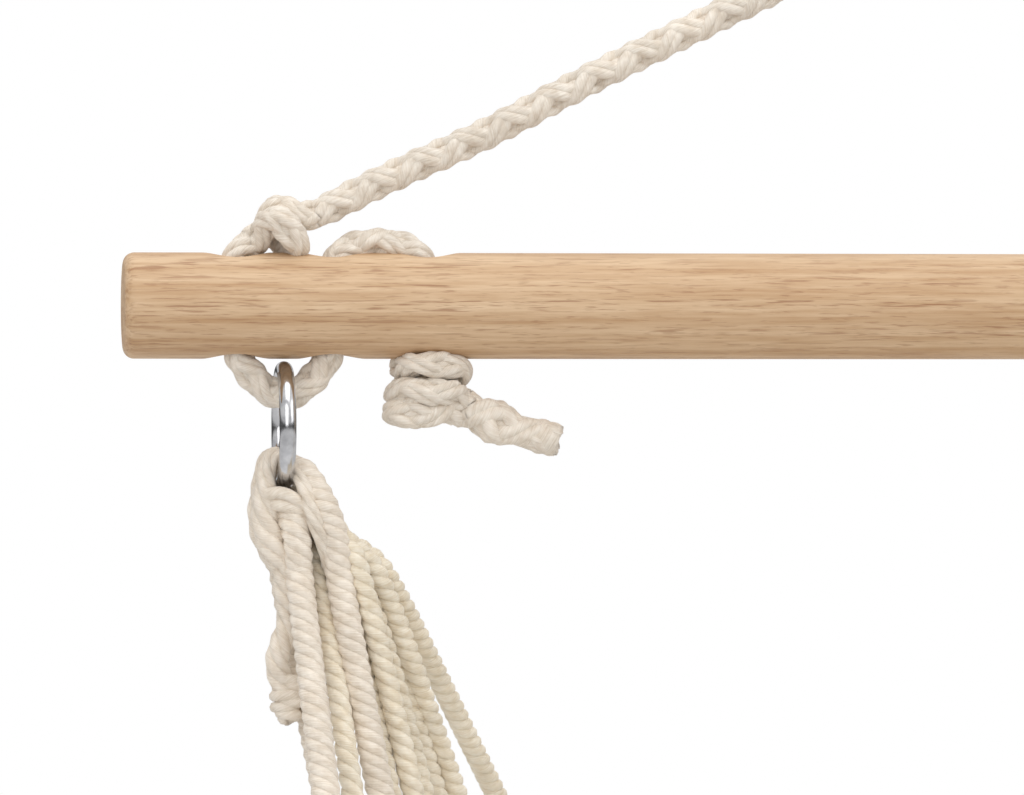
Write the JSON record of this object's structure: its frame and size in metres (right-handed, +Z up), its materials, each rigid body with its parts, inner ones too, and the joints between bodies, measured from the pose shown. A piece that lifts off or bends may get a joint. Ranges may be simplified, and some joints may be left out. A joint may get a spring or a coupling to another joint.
{
  "type": "hanging hammock chair",
  "caption": "Hanging hammock chair: oak spreader bar on a plaited rope, steel rings, fanned clew cords and a sagging cotton seat.",
  "frame": {"origin": "inside top of the hanging ring, where the hook that carries the chair bears", "axes": "+Z up, +X along the spreader bar, +Y towards the back of the seat"},
  "size_m": [1, 0.7062, 1.3538],
  "materials": {
    "oak": "oiled, open grain",
    "plaited_rope": "natural cotton, plaited",
    "pale_cord": "natural cotton, twisted",
    "tan_cord": "unbleached cotton, twisted",
    "canvas": "natural cotton canvas",
    "polished_steel": "polished"
  },
  "bodies": {
    "hanger": {"top_ring": "polished_steel"},
    "bar": {"spreader_bar": "oak", "rope_eye": "plaited_rope", "top_knot": "plaited_rope", "left_bar_knot": "plaited_rope", "left_suspension_rope": "plaited_rope", "left_ring_rope": "plaited_rope", "left_stopper_knot": "plaited_rope", "left_rope_tail": "plaited_rope", "right_bar_knot": "plaited_rope", "right_suspension_rope": "plaited_rope", "right_ring_rope": "plaited_rope", "right_stopper_knot": "plaited_rope", "right_rope_tail": "plaited_rope"},
    "left_ring": {"left_ring": "polished_steel"},
    "right_ring": {"right_ring": "polished_steel"},
    "seat": {"seat_cloth": "canvas", "left_cord_01": "pale_cord", "left_cord_02": "tan_cord", "left_cord_03": "pale_cord", "left_cord_04": "pale_cord", "left_cord_05": "tan_cord", "left_cord_06": "tan_cord", "left_cord_07": "tan_cord", "left_cord_08": "tan_cord", "left_cord_09": "tan_cord", "left_cord_10": "tan_cord", "right_cord_01": "pale_cord", "right_cord_02": "tan_cord", "right_cord_03": "pale_cord", "right_cord_04": "pale_cord", "right_cord_05": "tan_cord", "right_cord_06": "tan_cord", "right_cord_07": "tan_cord", "right_cord_08": "tan_cord", "right_cord_09": "tan_cord", "right_cord_10": "tan_cord", "left_hitch": "pale_cord", "left_hitch_tail": "pale_cord", "left_tail_knot": "pale_cord", "left_edge_knots": "tan_cord", "left_edge_rope": "canvas", "right_hitch": "pale_cord", "right_hitch_tail": "pale_cord", "right_tail_knot": "pale_cord", "right_edge_knots": "tan_cord", "right_edge_rope": "canvas"}
  },
  "joints": [
    {"name": "chair_swing", "type": "hinge", "parent": "hanger", "child": "bar", "pos_m": [0, 0, -0.025], "axis": [1, 0, 0], "range_deg": [-30, 30]},
    {"name": "left_ring_swing", "type": "hinge", "parent": "bar", "child": "left_ring", "pos_m": [-0.4425, 0, -0.35669], "axis": [1, 0, 0], "range_deg": [-15, 15]},
    {"name": "right_ring_swing", "type": "hinge", "parent": "bar", "child": "right_ring", "pos_m": [0.4425, 0, -0.35669], "axis": [1, 0, 0], "range_deg": [-15, 15]},
    {"name": "seat_swing", "type": "hinge", "parent": "left_ring", "child": "seat", "pos_m": [-0.4425, 0, -0.36879], "axis": [1, 0, 0], "range_deg": [-30, 30]}
  ],
  "couplings": [
    {"joint": "right_ring_swing", "follows": "left_ring_swing", "ratio": 1}
  ]
}
